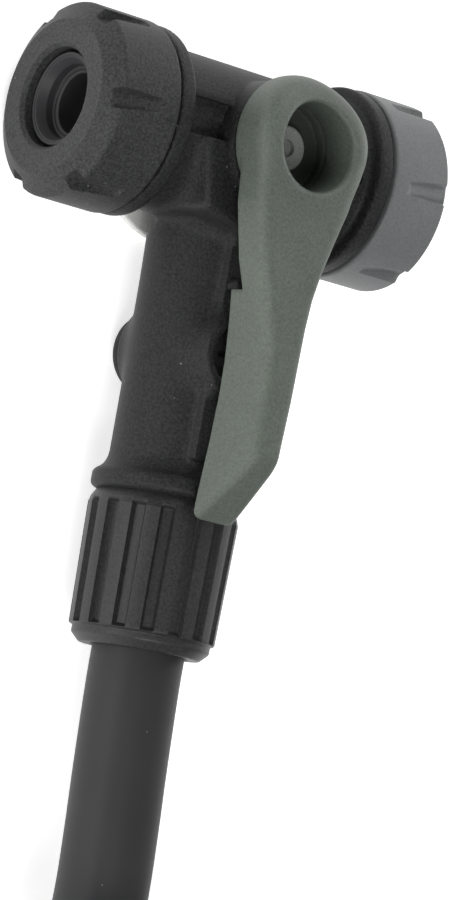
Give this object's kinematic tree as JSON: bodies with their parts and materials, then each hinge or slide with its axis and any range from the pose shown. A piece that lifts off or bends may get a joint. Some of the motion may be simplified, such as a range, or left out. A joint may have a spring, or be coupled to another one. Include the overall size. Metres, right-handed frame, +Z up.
{
  "type": "twin-valve tyre pump head with hose",
  "caption": "Tyre pump head with a valve socket in each end, a swing lever, a bleed button and a ribbed collar nut on a coiled air hose.",
  "frame": {"origin": "on the surface that the part lies on, at the middle of the head and stem's footprint", "axes": "+X along the valve axis towards the grey narrow-valve cap, +Y along the stem towards the head, +Z up, the side that the lever is on"},
  "size_m": [0.1543, 0.2474, 0.0316],
  "materials": {
    "black_body": "fine moulded grain, satin",
    "black_cap": "fine moulded grain, satin",
    "grey_cap": "fine moulded grain, satin",
    "lever_green": "fine moulded grain, satin",
    "black_button": "satin",
    "black_nut": "fine moulded grain, satin",
    "white_plastic": "smooth",
    "gasket_rubber": "matt",
    "seal_rubber": "smooth",
    "hose_rubber": "smooth, matt, faint fine lines",
    "steel": "turned",
    "dark_steel": "blackened",
    "plated_steel": "bright plated",
    "brass": "turned",
    "tie_fabric": "woven strap"
  },
  "bodies": {
    "head": {"head_body": "black_body", "schrader_cap": "black_cap", "presta_cap": "grey_cap", "schrader_gasket": "gasket_rubber", "presta_gasket": "gasket_rubber", "gasket_washers": "steel", "shaft_seals": "seal_rubber", "bleed_spring": "steel", "bleed_plug": "black_body", "stem_seal": "seal_rubber", "hose_barb": "brass", "hose_end": "hose_rubber", "hose_collet": "white_plastic", "collar_nut": "black_nut", "hose_lead": "hose_rubber", "hose_coil": "hose_rubber", "hose_tail": "hose_rubber", "coil_tie": "tie_fabric", "end_ferrule": "plated_steel", "end_barb": "brass", "end_washer": "seal_rubber"},
    "lever_set": {"lever": "lever_green", "lever_screw": "dark_steel", "cam_shaft": "steel", "rear_disc": "grey_cap"},
    "plunger_set": {"plunger": "white_plastic", "core_pin": "brass"},
    "button": {"bleed_button": "black_button", "bleed_seal": "seal_rubber"},
    "swivel_nut": {"end_nut": "plated_steel"}
  },
  "joints": [
    {"name": "lever_swing", "type": "hinge", "parent": "head", "child": "lever_set", "pos_m": [0, 0.02625, 0.0125], "axis": [0, 0, 1], "range_deg": [-60, 60]},
    {"name": "plunger_slide", "type": "slide", "parent": "head", "child": "plunger_set", "axis": [1, 0, 0], "range_m": [-0.0015, 0.0015]},
    {"name": "bleed_press", "type": "slide", "parent": "head", "child": "button", "axis": [0, 0, 1], "range_m": [0, 0.0018], "stiffness_N_per_m": 400, "springref_m": -0.001, "deforming": ["bleed_spring"]},
    {"name": "end_nut_turn", "type": "hinge", "parent": "head", "child": "swivel_nut", "pos_m": [-0.006, -0.08175, 0.0246], "axis": [1, 0, 0], "continuous": true}
  ],
  "couplings": [
    {"joint": "lever_swing", "follows": "plunger_slide", "rad_per_m": 698.1}
  ]
}
